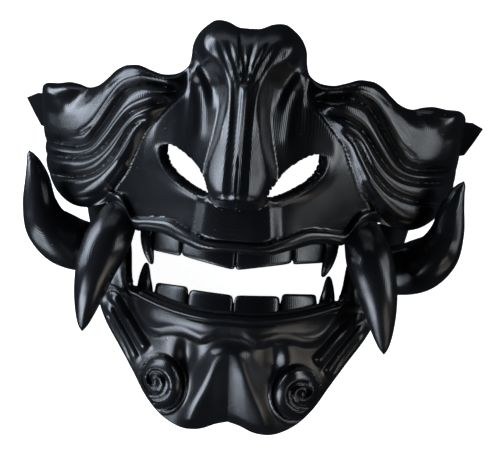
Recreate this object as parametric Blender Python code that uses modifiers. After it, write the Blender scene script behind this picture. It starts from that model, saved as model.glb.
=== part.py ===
"""Half mask with a demon's face: nose and crest, flame locks, jaw, tusks, teeth and strap tabs.

It lies face up on its back rim, the crest towards +Y and the floor at z = 0.
Tables hold shares of HALF_WIDTH (across), HALF_HEIGHT (up the face) and DEPTH (towards the viewer).
"""
import math

import bmesh
import bpy
import numpy as np

HALF_WIDTH = 0.100      # middle of the face to the flame ends
HALF_HEIGHT = 0.100     # mouth line to one share up or down the face
DEPTH = 0.100           # one share towards the viewer
CENTRE_SHIFT = 0.0022   # moves the face so that its box is centred on the origin
RIM_LEVEL = 0.0120      # where the flat back rim cuts the depths of the tables

WALL = 0.0030           # thickness of both shells
GAP = 0.0003            # space left between neighbouring pieces
SEAT_GAP = 0.0006       # space left where the teeth follow the uneven backs of the lips
TRIM_DEPTH = 0.030      # block below the floor that cuts the shells flat

FACE_COLUMNS = 52       # grid cells across the face shell
FACE_ROWS = 22          # grid cells up the face shell
JAW_COLUMNS = 36
JAW_ROWS = 16

NOSE_RISE = 0.0210      # nose ridge above the cheeks
NOSE_FLAT = 0.0050      # half width of the flat strip down the nose
ROOF_SLOPE = 0.56       # fall of the two facets beside that strip
LIP_RISE = 0.0034       # roll along both lips
LIP_BAND = 0.0065       # width of that roll
CREST_RISE = 0.0050     # rounded edge of the crest
LOBE_RISE = 0.0030      # its two lobes
TUCK_DROP = 0.0017      # folds that tuck in below the lobes
LOCK_RISE = 0.0070      # flame locks above the cheeks
LOCK_SPREAD = 0.0062    # half width of the furrows between them
DISH_DROP = 0.0036      # hollow at the outer end of the locks
EYE_RISE = 0.0015       # smooth field round each opening
MUZZLE_RISE = 0.0042    # block between the nose and the lip
FOLD_RISE = 0.0034      # folds of the jaw
LEDGE_RISE = 0.0044     # bowl below the lower lip
BEARD_RISE = 0.0040
BOSS_RADIUS = 0.0100    # round bosses on the jaw
BOSS_RISE = 0.0064

TUSK_SIDES = 12
TUSK_RINGS = 12
FANG_RADIUS = 0.0027    # small fangs at their roots
TOOTH_THICK = 0.0050    # tooth blocks, front to back
TOOTH_EDGE = 0.0009     # rounding of the tooth blocks
ROOT_LEAN = 0.035       # how far forward their roots reach, share of DEPTH
TAB_THICK = 0.0032      # strap tabs
SLOT_LONG = 0.0120      # strap slot
SLOT_WIDE = 0.0030

# share along the half face | foot across, up, out | head across, up, out
FACE_EDGE = np.array((
    (0.00, 0.000, -0.105, 0.82, 0.000, 0.803, 0.92),
    (0.04, 0.040, -0.106, 0.82, 0.045, 0.806, 0.92),
    (0.08, 0.080, -0.108, 0.82, 0.090, 0.828, 0.92),
    (0.12, 0.120, -0.106, 0.81, 0.135, 0.835, 0.91),
    (0.16, 0.155, -0.102, 0.80, 0.180, 0.813, 0.89),
    (0.20, 0.190, -0.090, 0.785, 0.213, 0.780, 0.86),
    (0.24, 0.220, -0.079, 0.77, 0.233, 0.735, 0.83),
    (0.28, 0.250, -0.070, 0.75, 0.238, 0.685, 0.81),
    (0.32, 0.275, -0.060, 0.73, 0.252, 0.642, 0.80),
    (0.36, 0.310, -0.048, 0.71, 0.290, 0.615, 0.80),
    (0.40, 0.350, -0.042, 0.68, 0.345, 0.608, 0.80),
    (0.44, 0.390, -0.040, 0.655, 0.400, 0.622, 0.79),
    (0.48, 0.425, -0.044, 0.63, 0.455, 0.642, 0.77),
    (0.52, 0.455, -0.028, 0.61, 0.505, 0.643, 0.74),
    (0.56, 0.490, 0.020, 0.59, 0.555, 0.625, 0.70),
    (0.60, 0.530, 0.060, 0.57, 0.595, 0.592, 0.66),
    (0.64, 0.580, 0.065, 0.54, 0.635, 0.564, 0.62),
    (0.68, 0.630, 0.052, 0.51, 0.685, 0.552, 0.58),
    (0.72, 0.680, 0.040, 0.48, 0.735, 0.566, 0.55),
    (0.76, 0.730, 0.044, 0.44, 0.785, 0.574, 0.52),
    (0.80, 0.780, 0.063, 0.39, 0.840, 0.570, 0.48),
    (0.84, 0.830, 0.100, 0.34, 0.885, 0.572, 0.47),
    (0.88, 0.870, 0.145, 0.28, 0.918, 0.563, 0.42),
    (0.92, 0.898, 0.185, 0.22, 0.936, 0.545, 0.34),
    (0.96, 0.908, 0.205, 0.12, 0.944, 0.530, 0.18),
    (1.00, 0.910, 0.212, -0.04, 0.948, 0.526, -0.04)))

# across | out of the bare face near the mouth and near the brow
BARE_FACE = np.array((
    (0.000, 0.820, 0.885),
    (0.100, 0.812, 0.858),
    (0.200, 0.784, 0.824),
    (0.290, 0.732, 0.808),
    (0.400, 0.655, 0.781),
    (0.500, 0.584, 0.730),
    (0.600, 0.522, 0.658),
    (0.680, 0.475, 0.594),
    (0.780, 0.390, 0.534),
    (0.840, 0.314, 0.490),
    (0.890, 0.228, 0.440),
    (0.930, 0.160, 0.375)))

# share along the half jaw | lip | middle of the front | lower outline | back rim, each across, up, out
JAW_EDGE = np.array((
    (0.00, 0.000, -0.348, 0.76, 0.000, -0.600, 0.66, 0.000, -0.837, 0.49, 0.000, -0.800, -0.04),
    (0.10, 0.060, -0.350, 0.758, 0.055, -0.610, 0.66, 0.055, -0.852, 0.49, 0.060, -0.800, -0.04),
    (0.20, 0.130, -0.345, 0.75, 0.110, -0.620, 0.65, 0.110, -0.876, 0.48, 0.120, -0.798, -0.04),
    (0.30, 0.200, -0.335, 0.73, 0.172, -0.620, 0.64, 0.168, -0.884, 0.47, 0.180, -0.790, -0.04),
    (0.40, 0.270, -0.321, 0.70, 0.240, -0.610, 0.62, 0.232, -0.868, 0.47, 0.240, -0.770, -0.04),
    (0.50, 0.340, -0.305, 0.66, 0.312, -0.580, 0.59, 0.302, -0.824, 0.47, 0.300, -0.740, -0.04),
    (0.60, 0.410, -0.287, 0.61, 0.380, -0.540, 0.56, 0.368, -0.750, 0.47, 0.360, -0.690, -0.04),
    (0.70, 0.462, -0.262, 0.57, 0.448, -0.480, 0.53, 0.429, -0.650, 0.47, 0.420, -0.610, -0.04),
    (0.76, 0.475, -0.200, 0.53, 0.505, -0.412, 0.505, 0.488, -0.555, 0.465, 0.475, -0.530, -0.04),
    (0.82, 0.492, -0.060, 0.49, 0.554, -0.332, 0.48, 0.549, -0.448, 0.455, 0.535, -0.430, -0.04),
    (0.88, 0.535, 0.035, 0.47, 0.597, -0.242, 0.44, 0.591, -0.365, 0.42, 0.580, -0.360, -0.04),
    (0.94, 0.650, 0.062, 0.32, 0.636, -0.150, 0.26, 0.615, -0.295, 0.22, 0.605, -0.340, -0.04),
    (1.00, 0.737, 0.056, -0.04, 0.690, -0.120, -0.04, 0.630, -0.270, -0.04, 0.620, -0.320, -0.04)))

# up the face | height of the nose, share of NOSE_RISE | half width | width of its flank
NOSE = np.array((
    (-0.12, 0.00, 0.080, 0.040),
    (0.050, 0.00, 0.080, 0.040),
    (0.085, 0.80, 0.092, 0.040),
    (0.120, 1.13, 0.112, 0.040),
    (0.180, 1.09, 0.130, 0.045),
    (0.240, 1.03, 0.132, 0.050),
    (0.300, 0.97, 0.118, 0.060),
    (0.380, 0.88, 0.098, 0.075),
    (0.460, 0.78, 0.086, 0.085),
    (0.560, 0.64, 0.092, 0.095),
    (0.640, 0.48, 0.140, 0.090),
    (0.740, 0.30, 0.190, 0.060),
    (0.800, 0.16, 0.190, 0.060),
    (0.860, 0.00, 0.190, 0.060)))

# outline of the crest and the folds below its lobes
CREST = (
    (1.00, ((0.00, 0.803), (0.045, 0.806), (0.090, 0.828), (0.135, 0.835), (0.180, 0.813), (0.213, 0.780),
            (0.233, 0.735), (0.238, 0.685), (0.252, 0.642))),)
TUCKS = (
    (1.00, ((0.235, 0.655), (0.205, 0.650), (0.165, 0.600), (0.140, 0.545), (0.125, 0.480), (0.118, 0.410))),)

# furrows between the flame locks: depth share, then across and up
FURROWS = (
    (1.00, ((0.240, 0.560), (0.350, 0.556), (0.416, 0.564), (0.493, 0.538), (0.537, 0.494), (0.611, 0.388),
            (0.660, 0.325), (0.705, 0.303), (0.850, 0.314), (0.930, 0.330))),
    (0.80, ((0.290, 0.492), (0.400, 0.475), (0.470, 0.445), (0.515, 0.400), (0.570, 0.330), (0.620, 0.280),
            (0.680, 0.240), (0.760, 0.220), (0.930, 0.240))),
    (0.90, ((0.450, 0.330), (0.500, 0.250), (0.560, 0.170), (0.640, 0.125), (0.760, 0.110), (0.840, 0.130))))
# line between the locks and the smooth cheek
BORDER = np.array((
    (0.240, 0.540), (0.286, 0.504), (0.329, 0.462), (0.385, 0.395), (0.413, 0.359), (0.445, 0.289),
    (0.482, 0.207), (0.530, 0.145), (0.600, 0.080), (1.000, -0.200)))
DISH = (
    (1.00, ((0.690, 0.530), (0.780, 0.515), (0.880, 0.525))),)

# field round each opening: up | its outer edge across
EYE_FIELD = np.array((
    (0.080, 0.150), (0.125, 0.240), (0.175, 0.310), (0.215, 0.355), (0.260, 0.383), (0.310, 0.396),
    (0.360, 0.394), (0.405, 0.378), (0.455, 0.345), (0.500, 0.300), (0.535, 0.240)))

# lower edge of the bowl below the lip: across | up
LEDGE = np.array((
    (0.00, -0.446), (0.085, -0.468), (0.120, -0.482), (0.215, -0.456), (0.310, -0.472), (0.385, -0.445),
    (0.425, -0.385), (0.455, -0.340), (0.600, -0.305)))
# legs of the beard: up | across
LEG = np.array((
    (-0.90, 0.200), (-0.80, 0.175), (-0.70, 0.135), (-0.60, 0.095), (-0.52, 0.060), (-0.47, 0.020),
    (-0.40, 0.000)))
# folds from the mouth corners to the bosses
FOLDS = (
    (1.00, ((0.565, -0.325), (0.525, -0.345), (0.485, -0.400), (0.430, -0.470), (0.380, -0.535))),
    (0.95, ((0.570, -0.360), (0.530, -0.430), (0.470, -0.520), (0.420, -0.610))))
BOSS_CENTRE = (0.292, -0.686)

# almond openings beside the nose, across and up, in order round the edge
OPENING = np.array((
    (0.124, 0.134), (0.145, 0.193), (0.177, 0.240), (0.215, 0.278), (0.262, 0.306), (0.326, 0.314),
    (0.316, 0.270), (0.290, 0.232), (0.250, 0.198), (0.200, 0.162), (0.155, 0.138)))

# centre lines: across, up, out, radius as a share of TUSK_RADIUS
TUSK_RADIUS = 0.0110
FRONT_TUSK = np.array((
    (0.495, 0.040, 0.54, 0.80), (0.515, -0.015, 0.60, 0.90), (0.556, -0.100, 0.638, 0.90),
    (0.590, -0.200, 0.645, 0.80), (0.614, -0.300, 0.630, 0.64), (0.631, -0.390, 0.605, 0.43),
    (0.645, -0.484, 0.573, 0.05)))
OUTER_TUSK = np.array((
    (0.610, -0.140, 0.34, 0.86), (0.690, -0.132, 0.38, 1.00), (0.770, -0.108, 0.43, 1.04),
    (0.840, -0.048, 0.49, 0.90), (0.876, 0.040, 0.52, 0.68), (0.887, 0.140, 0.555, 0.50),
    (0.902, 0.205, 0.575, 0.32), (0.926, 0.262, 0.585, 0.05)))

# tooth arches: across, out
UPPER_ARCH = np.array(((0.00, 0.775), (0.12, 0.765), (0.24, 0.705), (0.31, 0.655), (0.42, 0.575)))
LOWER_ARCH = np.array(((0.00, 0.715), (0.12, 0.705), (0.20, 0.68), (0.34, 0.60), (0.42, 0.545)))
# each row of teeth along half its width: across, top, bottom
UPPER_ROW = (
    (0.000, -0.060, -0.115), (0.005, -0.060, -0.115), (0.007, -0.060, -0.163), (0.025, -0.060, -0.170),
    (0.120, -0.060, -0.153), (0.205, -0.050, -0.135), (0.226, -0.045, -0.127), (0.228, -0.045, -0.085),
    (0.235, -0.044, -0.085), (0.237, -0.044, -0.126), (0.255, -0.040, -0.132), (0.300, -0.032, -0.130),
    (0.335, -0.028, -0.124), (0.347, -0.026, -0.105))
LOWER_ROW = (
    (0.000, -0.290, -0.390), (0.004, -0.335, -0.390), (0.006, -0.290, -0.390), (0.030, -0.286, -0.390),
    (0.100, -0.284, -0.390), (0.170, -0.277, -0.388), (0.188, -0.282, -0.386), (0.190, -0.328, -0.386),
    (0.196, -0.328, -0.386), (0.198, -0.276, -0.386), (0.215, -0.268, -0.384), (0.280, -0.266, -0.378),
    (0.330, -0.266, -0.370), (0.344, -0.278, -0.366))
# small fangs: root across, up | tip across, up
UPPER_FANG = (0.374, -0.040, 0.362, -0.176)
LOWER_FANG = (0.380, -0.325, 0.378, -0.182)

# strap tabs seen from the front, and how far above the floor their middle is
TAB = ((0.838, 0.545), (0.975, 0.540), (1.024, 0.516), (0.988, 0.455), (0.950, 0.395), (0.838, 0.370))
TAB_LEVEL = 0.11
SLOT_CENTRE = (0.878, 0.458)


def place(across, up, out):
    """Turn shares across, up and out into points in metres."""
    return np.stack((across * HALF_WIDTH, up * HALF_HEIGHT + CENTRE_SHIFT, out * DEPTH - RIM_LEVEL), axis=-1)


def follow(table, share):
    """Read a table at the shares in its first column with a smooth curve that never overshoots."""
    knots, values = table[:, 0], table[:, 1:]
    step = np.diff(knots)[:, None]
    slope = np.diff(values, axis=0) / step
    turn = np.where(slope[1:] * slope[:-1] > 0, (slope[1:] + slope[:-1]) / 2, 0)
    tangent = np.concatenate((slope[:1], turn, slope[-1:]))
    at = np.clip(np.searchsorted(knots, share, side="right") - 1, 0, len(knots) - 2)
    t = np.clip((share - knots[at]) / step[at, 0], 0, 1)[..., None]
    start, end = values[at], values[at + 1]
    lead, trail = tangent[at] * step[at], tangent[at + 1] * step[at]
    return (start * (1 + 2 * t) * (1 - t) ** 2 + end * t * t * (3 - 2 * t)
            + lead * t * (1 - t) ** 2 - trail * t * t * (1 - t))


def closeness(across, up, line):
    """Distance in metres from each point to a line of shares, and how far along that line it is."""
    line = np.array(line) * (HALF_WIDTH, HALF_HEIGHT)
    x, y = across * HALF_WIDTH, up * HALF_HEIGHT
    best = np.full(x.shape, np.inf)
    share = np.zeros(x.shape)
    for number, (start, end) in enumerate(zip(line[:-1], line[1:])):
        run = end - start
        t = np.clip(((x - start[0]) * run[0] + (y - start[1]) * run[1]) / (run @ run), 0, 1)
        far = np.hypot(x - start[0] - t * run[0], y - start[1] - t * run[1])
        share = np.where(far < best, (number + t) / (len(line) - 1), share)
        best = np.minimum(best, far)
    return best, share


def strands(across, up, lines, spread):
    """Highest of the ridges along a set of lines: 1 on a full line, 0 one spread away from it."""
    total = np.zeros(across.shape)
    for height, line in lines:
        far, share = closeness(across, up, line)
        fade = np.minimum(1, 0.45 + 3 * np.minimum(share, 1 - share))
        total = np.maximum(total, height * fade * np.cos(np.minimum(far / spread, 1) * math.pi / 2) ** 1.5)
    return total


def ease(value, low, high):
    t = np.clip((value - low) / (high - low), 0, 1)
    return t * t * (3 - 2 * t)


def face_relief(across, up, foot, head):
    """Height of the face's features above its bare shell, straight towards the viewer."""
    far = np.abs(across)
    rise, half_width, flank = np.moveaxis(follow(NOSE, up), -1, 0)
    beside = np.maximum(np.minimum(far, half_width) * HALF_WIDTH - NOSE_FLAT, 0)
    roof = ROOF_SLOPE * beside * (1 - ease(up, 0.56, 0.76))
    nose = (NOSE_RISE * rise - roof) * (1 - ease(far - half_width, -flank, flank))
    to_edge, share = closeness(far, up, CREST[0][1])
    crest = CREST_RISE * np.sqrt(np.clip(to_edge / (1.5 * LOCK_SPREAD), 0, 1)) * ease(up, 0.56, 0.68)
    crest = crest * (1 - ease(far, 0.20, 0.30))
    lobes = LOBE_RISE * np.exp(-(((far - 0.135) / 0.068) ** 2 + ((up - 0.735) / 0.095) ** 2))
    tucks = TUCK_DROP * strands(far, up, TUCKS, LOCK_SPREAD * 0.7)

    inland, share = closeness(far, up, BORDER)
    inland = np.where(up > follow(BORDER, far)[..., 0], inland, 0) / LOCK_SPREAD
    margin = np.clip(np.minimum(up - foot, head - up) * HALF_HEIGHT / LOCK_SPREAD, 0, 1)
    locks = LOCK_RISE * (1 - 0.85 * strands(far, up, FURROWS, LOCK_SPREAD)) * ease(inland, 0.0, 1.1)
    locks = locks - DISH_DROP * strands(far, up, DISH, LOCK_SPREAD)
    locks = locks * np.sqrt(margin) * (1 - ease(far, 0.905, 0.945)) * ease(far, 0.22, 0.30)

    beyond = (follow(EYE_FIELD, up)[..., 0] - far) * HALF_WIDTH / LOCK_SPREAD
    eye = EYE_RISE * ease(beyond, -0.2, 0.2) * ease(far, 0.18, 0.30) * ease(up, 0.08, 0.14)
    eye = eye * (1 - ease(up, 0.48, 0.56))
    band = (up - foot) * HALF_HEIGHT / LIP_BAND
    lip = LIP_RISE * np.sqrt(np.clip(1 - (2 * band - 1) ** 2, 0, 1)) * (1 - ease(far, 0.44, 0.56))
    muzzle = MUZZLE_RISE * (1 - ease(far, 0.10, 0.17)) * (1 - ease(up, 0.10, 0.17)) * ease(band, 0.8, 1.4)
    return np.maximum(nose, muzzle) + crest + lobes - tucks + locks + eye + lip


def jaw_relief(across, up, lip_line, front):
    """Height of the jaw's features; front is 1 on the face of the jaw and 0 on its underside."""
    far = np.abs(across)
    band = (lip_line - up) * HALF_HEIGHT / LIP_BAND
    lip = LIP_RISE / 2 * ease(band, 0.0, 0.5) * (1 - ease(band, 0.7, 1.0)) * (1 - ease(far, 0.42, 0.50))
    above = (up - follow(LEDGE, far)[..., 0]) * HALF_HEIGHT / LOCK_SPREAD
    ledge = LEDGE_RISE * ease(above, -0.3, 0.3) * (1 - 0.45 * ease(above, 0.3, 2.0))
    folds = FOLD_RISE * strands(far, up, FOLDS, LOCK_SPREAD * 0.7)
    inside = (follow(LEG, up)[..., 0] - far) * HALF_WIDTH / LOCK_SPREAD
    beard = BEARD_RISE * ease(inside, -0.35, 0.1) * (1 - 0.4 * ease(inside, 0.4, 1.4)) * ease(-up, 0.47, 0.52)
    east = (far - BOSS_CENTRE[0]) * HALF_WIDTH / BOSS_RADIUS
    north = (up - BOSS_CENTRE[1]) * HALF_HEIGHT / BOSS_RADIUS / 1.22
    boss = BOSS_RISE * np.sqrt(np.clip(1 - east ** 2 - north ** 2, 0, 1))
    hollow = FOLD_RISE * (1 - ease(np.hypot(far - 0.182, up + 0.55), 0.02, 0.09)) * ease(-above, 0.0, 0.3)
    relief = np.maximum(np.maximum(folds, beard), np.maximum(ledge, boss))
    return front * (lip + relief - hollow)


def outward(points):
    """Unit directions square to a grid of points, pointing out of the face."""
    along, across = np.gradient(points, axis=0), np.gradient(points, axis=1)
    square = np.cross(along, across)
    return square / np.linalg.norm(square, axis=-1, keepdims=True)


def face_grid(columns, rows):
    """Points of the face shell's outside: lines from foot to head on the bare face, plus the relief."""
    run = np.linspace(-1, 1, columns + 1)[:, None] * np.ones(rows + 1)
    climb = np.ones(columns + 1)[:, None] * np.linspace(0, 1, rows + 1)
    edge = follow(FACE_EDGE, np.abs(run))
    share = edge[..., :3] + (edge[..., 3:] - edge[..., :3]) * climb[..., None]
    across, up, out = share[..., 0] * np.sign(run), share[..., 1], share[..., 2]
    low, high = np.moveaxis(follow(BARE_FACE, np.abs(across)), -1, 0)
    bare = low + (high - low) * np.clip((up + 0.05) / 0.65, 0, 1.4)
    out = out + (bare - out) * (1 - ease(np.abs(run), 0.78, 0.92))
    out = out + 0.035 * np.sin(climb * math.pi) * (1 - np.abs(run) ** 4)
    relief = face_relief(across, up, edge[..., 1], edge[..., 4])
    return place(across, up, out) + relief[..., None] * (0, 0, 1)


def jaw_grid(columns, rows):
    """Points of the jaw's outside: a parabola through lip, front and lower outline, then down to the rim."""
    run = np.linspace(-1, 1, columns + 1)[:, None] * np.ones(rows + 1)
    drop = np.ones(columns + 1)[:, None] * np.linspace(0, 1, rows + 1)
    edge = follow(JAW_EDGE, np.abs(run)).reshape(columns + 1, rows + 1, 4, 3)
    t, middle, back = np.minimum(drop / 0.7, 1), 3 / 7, np.clip((drop - 0.7) / 0.3, 0, 1)
    weights = ((t - middle) * (t - 1) / middle, t * (t - 1) / middle / (middle - 1),
               t * (t - middle) / (1 - middle) - back, back)
    share = sum(edge[:, :, number] * weight[..., None] for number, weight in enumerate(weights))
    across, up, out = share[..., 0] * np.sign(run), share[..., 1], share[..., 2]
    front = (1 - ease(drop, 0.60, 0.70)) * (1 - ease(np.abs(run), 0.86, 0.92))
    return place(across, up, out) + jaw_relief(across, up, edge[:, :, 0, 1], front)[..., None] * (0, 0, 1)


def loosened(points, away):
    """The same grid one seat gap further out, its first row carried one gap past its edge."""
    moved = points + away * SEAT_GAP
    past = moved[:, 0] - moved[:, 1]
    moved[:, 0] += past * SEAT_GAP / np.linalg.norm(past, axis=1, keepdims=True)
    return moved


def new_object(name, points, faces, material, home):
    mesh = bpy.data.meshes.new(name)
    mesh.from_pydata([tuple(p) for p in points], [], faces)
    work = bmesh.new()
    work.from_mesh(mesh)
    bmesh.ops.recalc_face_normals(work, faces=work.faces)
    work.to_mesh(mesh)
    work.free()
    made = bpy.data.objects.new(name, mesh)
    made.data.materials.append(material)
    home.objects.link(made)
    return made


def grid_faces(columns, rows, rising):
    """Triangles of a grid; their diagonals mirror each other across the middle of the face."""
    column = np.repeat(np.arange(columns), rows)
    first = column * (rows + 1) + np.tile(np.arange(rows), columns)
    corners = np.stack((first, first + rows + 1, first + rows + 2, first + 1), axis=1)
    turned = (column >= columns // 2) == rising
    corners[turned] = np.roll(corners[turned], 1, axis=1)
    return [tuple(f) for f in np.concatenate((corners[:, [0, 1, 2]], corners[:, [0, 2, 3]])).tolist()]


def shell(name, grid, thickness, rising, material, home):
    """One open surface given its wall towards the back of the mask."""
    columns, rows = grid.shape[0] - 1, grid.shape[1] - 1
    made = new_object(name, grid.reshape(-1, 3), grid_faces(columns, rows, rising), material, home)
    middle = made.data.polygons[(columns // 2) * rows + rows // 4]
    if middle.normal.z < 0:
        made.data.flip_normals()
    wall = made.modifiers.new("wall", "SOLIDIFY")
    wall.thickness = thickness
    wall.offset = -1
    smooth(made)
    return made


def smooth(made):
    made.data.polygons.foreach_set("use_smooth", [True] * len(made.data.polygons))


def tube(line, sides, rings, radius, grow=0.0):
    """Rings of points carried along a smooth line of shares, with their radius; one face list."""
    keys = np.column_stack((np.linspace(0, 1, len(line)), line))
    path = follow(keys, np.linspace(0, 1, rings + 1))
    centre = place(path[:, 0], path[:, 1], path[:, 2])
    ahead = np.gradient(centre, axis=0)
    ahead /= np.linalg.norm(ahead, axis=1, keepdims=True)
    east = np.cross(ahead, (0, 0, 1.0))
    east /= np.linalg.norm(east, axis=1, keepdims=True)
    north = np.cross(east, ahead)
    angle = np.linspace(0, math.tau, sides, endpoint=False)
    size = (path[:, 3] * radius + grow)[:, None, None]
    turn = east[:, None] * np.cos(angle)[:, None] + north[:, None] * np.sin(angle)[:, None]
    ring = centre[:, None] + size * turn
    first = np.arange(rings)[:, None] * sides
    here, after = np.arange(sides), (np.arange(sides) + 1) % sides
    quads = np.stack((first + here, first + after, first + sides + after, first + sides + here), axis=-1)
    faces = [tuple(f) for f in quads.reshape(-1, 4).tolist()]
    faces += [tuple(range(sides))[::-1], tuple(range(rings * sides, (rings + 1) * sides))]
    return ring.reshape(-1, 3), faces


def mirrored(points, side):
    return points * (side, 1, 1)


def cut(target, cutter):
    step = target.modifiers.new("cut " + cutter.name, "BOOLEAN")
    step.operation = "DIFFERENCE"
    step.solver = "EXACT"
    step.object = cutter


def prism(name, outline, low, high, material, home, side=1):
    """Upright block over an outline of shares, between two heights in metres."""
    outline = np.array(outline)
    foot = mirrored(place(outline[:, 0], outline[:, 1], np.zeros(len(outline))), side) * (1, 1, 0)
    count = len(outline)
    points = np.concatenate((foot + (0, 0, low), foot + (0, 0, high)))
    faces = [tuple(range(count))[::-1], tuple(range(count, 2 * count))]
    faces += [(n, (n + 1) % count, (n + 1) % count + count, n + count) for n in range(count)]
    return new_object(name, points, faces, material, home)


def tooth_row(name, stations, arch, lean, material, home):
    """One rounded section carried along the arch; its top and foot lean forward into their shell."""
    half = np.array(stations)
    whole = np.concatenate((half[:0:-1] * (-1, 1, 1), half[1:]))
    edge, thick = TOOTH_EDGE / HALF_HEIGHT, TOOTH_THICK / DEPTH
    front = follow(arch, np.abs(whole[:, 0]))[:, 0]
    across, top, foot = whole.T
    soft = TOOTH_EDGE / DEPTH
    above, under = front + lean[0], front + lean[1]
    corners = ((top - edge, above), (foot + edge, under), (foot, under - soft), (foot, front - thick + soft),
               (foot + edge, front - thick), (top - edge, front - thick), (top, front - thick + soft),
               (top, above - soft))
    rings = np.stack([place(across, up, out) for up, out in corners], axis=1)
    count, sides = rings.shape[:2]
    first = np.arange(count - 1)[:, None] * sides
    here, after = np.arange(sides), (np.arange(sides) + 1) % sides
    quads = np.stack((first + here, first + after, first + sides + after, first + sides + here), axis=-1)
    faces = [tuple(f) for f in quads.reshape(-1, 4).tolist()]
    faces += [tuple(range(sides))[::-1], tuple(range((count - 1) * sides, count * sides))]
    return new_object(name, rings.reshape(-1, 3), faces, material, home)


def clear():
    for old in list(bpy.data.objects):
        bpy.data.objects.remove(old, do_unlink=True)


def gloss(name, shade, rough):
    material = bpy.data.materials.new(name)
    material.use_nodes = True
    surface = material.node_tree.nodes["Principled BSDF"]
    surface.inputs["Base Color"].default_value = (*shade, 1)
    surface.inputs["Roughness"].default_value = rough
    return material


def grown(outline, amount):
    """Outline of shares moved away from its middle by a distance in metres."""
    outline = np.array(outline)
    away = (outline - outline.mean(axis=0)) * (HALF_WIDTH, HALF_HEIGHT)
    away /= np.linalg.norm(away, axis=1, keepdims=True)
    return outline + away * amount / (HALF_WIDTH, HALF_HEIGHT)


def fang(name, ends, level, material, home, side):
    across, up, tip_across, tip_up = ends
    middle = ((across + tip_across) / 2 + 0.012, (up + tip_up) / 2)
    line = ((across, up, level, 1.0), (middle[0], middle[1], level + 0.01, 0.78),
            (tip_across, tip_up, level, 0.12))
    points, faces = tube(np.array(line), 10, 6, FANG_RADIUS)
    return new_object(name, mirrored(points, side), faces, material, home)


def build():
    clear()
    home = bpy.data.collections.new("half_mask")
    tools = bpy.data.collections.new("cutters")
    bpy.context.scene.collection.children.link(home)
    bpy.context.scene.collection.children.link(tools)
    black = gloss("shell_black", (0.008, 0.008, 0.010), 0.24)
    jaw_black = gloss("jaw_black", (0.008, 0.008, 0.010), 0.25)
    tusk_black = gloss("tusk_black", (0.009, 0.009, 0.011), 0.22)
    tooth_black = gloss("tooth_black", (0.009, 0.009, 0.011), 0.26)
    tab_black = gloss("tab_black", (0.009, 0.009, 0.011), 0.30)

    face_points = face_grid(FACE_COLUMNS, FACE_ROWS)
    jaw_points = jaw_grid(JAW_COLUMNS, JAW_ROWS)
    face = shell("face_shell", face_points, WALL, True, black, home)
    jaw = shell("jaw_shell", jaw_points, WALL, False, jaw_black, home)
    deep = WALL + 2 * SEAT_GAP
    face_seat = shell("face_seat", loosened(face_points, outward(face_points)), deep, True, black, tools)
    jaw_seat = shell("jaw_seat", loosened(jaw_points, -outward(jaw_points)), deep, False, black, tools)

    below = ((-1.3, -1.3), (1.3, -1.3), (1.3, 1.3), (-1.3, 1.3))
    floor = prism("floor", below, -TRIM_DEPTH, 0, black, tools)
    cut(face, floor)
    cut(jaw, floor)

    for side, hand in ((1, "right"), (-1, "left")):
        hole = prism("opening_" + hand, OPENING, 0.3 * DEPTH, 1.2 * DEPTH, black, tools, side)
        cut(face, hole)
        for kind, line, hosts in (("front_tusk_", FRONT_TUSK, (face, jaw)),
                                  ("outer_tusk_", OUTER_TUSK, (jaw, face))):
            points, faces = tube(line, TUSK_SIDES, TUSK_RINGS, TUSK_RADIUS)
            smooth(new_object(kind + hand, mirrored(points, side), faces, tusk_black, home))
            points, faces = tube(line, TUSK_SIDES, TUSK_RINGS, TUSK_RADIUS, GAP)
            socket = new_object("socket_" + kind + hand, mirrored(points, side), faces, black, tools)
            for host in hosts:
                cut(host, socket)
        cut(fang("upper_fang_" + hand, UPPER_FANG, 0.615, tooth_black, home, side), face_seat)
        cut(fang("lower_fang_" + hand, LOWER_FANG, 0.580, tooth_black, home, side), jaw_seat)
        low, high = TAB_LEVEL * DEPTH - TAB_THICK / 2, TAB_LEVEL * DEPTH + TAB_THICK / 2
        tab = prism("strap_tab_" + hand, TAB, low, high, tab_black, home, side)
        pocket = prism("pocket_" + hand, grown(TAB, GAP), low - GAP, high + GAP, black, tools, side)
        cut(face, pocket)
        across, up = SLOT_CENTRE
        wide, long = SLOT_WIDE / 2 / HALF_WIDTH, SLOT_LONG / 2 / HALF_HEIGHT
        corners = ((across - wide, up - long), (across + wide, up - long), (across + wide, up + long),
                   (across - wide, up + long))
        cut(tab, prism("slot_" + hand, corners, low - GAP, high + GAP, black, tools, side))

    cut(tooth_row("upper_teeth", UPPER_ROW, UPPER_ARCH, (ROOT_LEAN, 0), tooth_black, home), face_seat)
    cut(tooth_row("lower_teeth", LOWER_ROW, LOWER_ARCH, (0, ROOT_LEAN), tooth_black, home), jaw_seat)

    for cutter in tools.objects:
        cutter.hide_render = True
        cutter.display_type = "WIRE"


build()
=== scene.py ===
import math

import bpy
import numpy as np
from mathutils import Matrix, Vector


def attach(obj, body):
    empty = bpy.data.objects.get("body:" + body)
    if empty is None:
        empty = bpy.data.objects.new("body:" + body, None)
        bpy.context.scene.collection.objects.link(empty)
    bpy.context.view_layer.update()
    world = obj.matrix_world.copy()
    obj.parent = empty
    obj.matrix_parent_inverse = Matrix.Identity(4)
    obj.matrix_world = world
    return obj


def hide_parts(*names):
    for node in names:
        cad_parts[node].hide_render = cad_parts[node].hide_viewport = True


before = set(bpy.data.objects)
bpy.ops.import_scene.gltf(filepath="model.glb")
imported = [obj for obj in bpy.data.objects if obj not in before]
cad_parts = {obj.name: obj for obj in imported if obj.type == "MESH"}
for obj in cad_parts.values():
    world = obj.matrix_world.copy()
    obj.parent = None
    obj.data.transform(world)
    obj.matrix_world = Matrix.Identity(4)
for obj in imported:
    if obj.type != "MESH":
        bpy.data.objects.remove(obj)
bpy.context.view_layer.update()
print("frame loaded")

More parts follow.
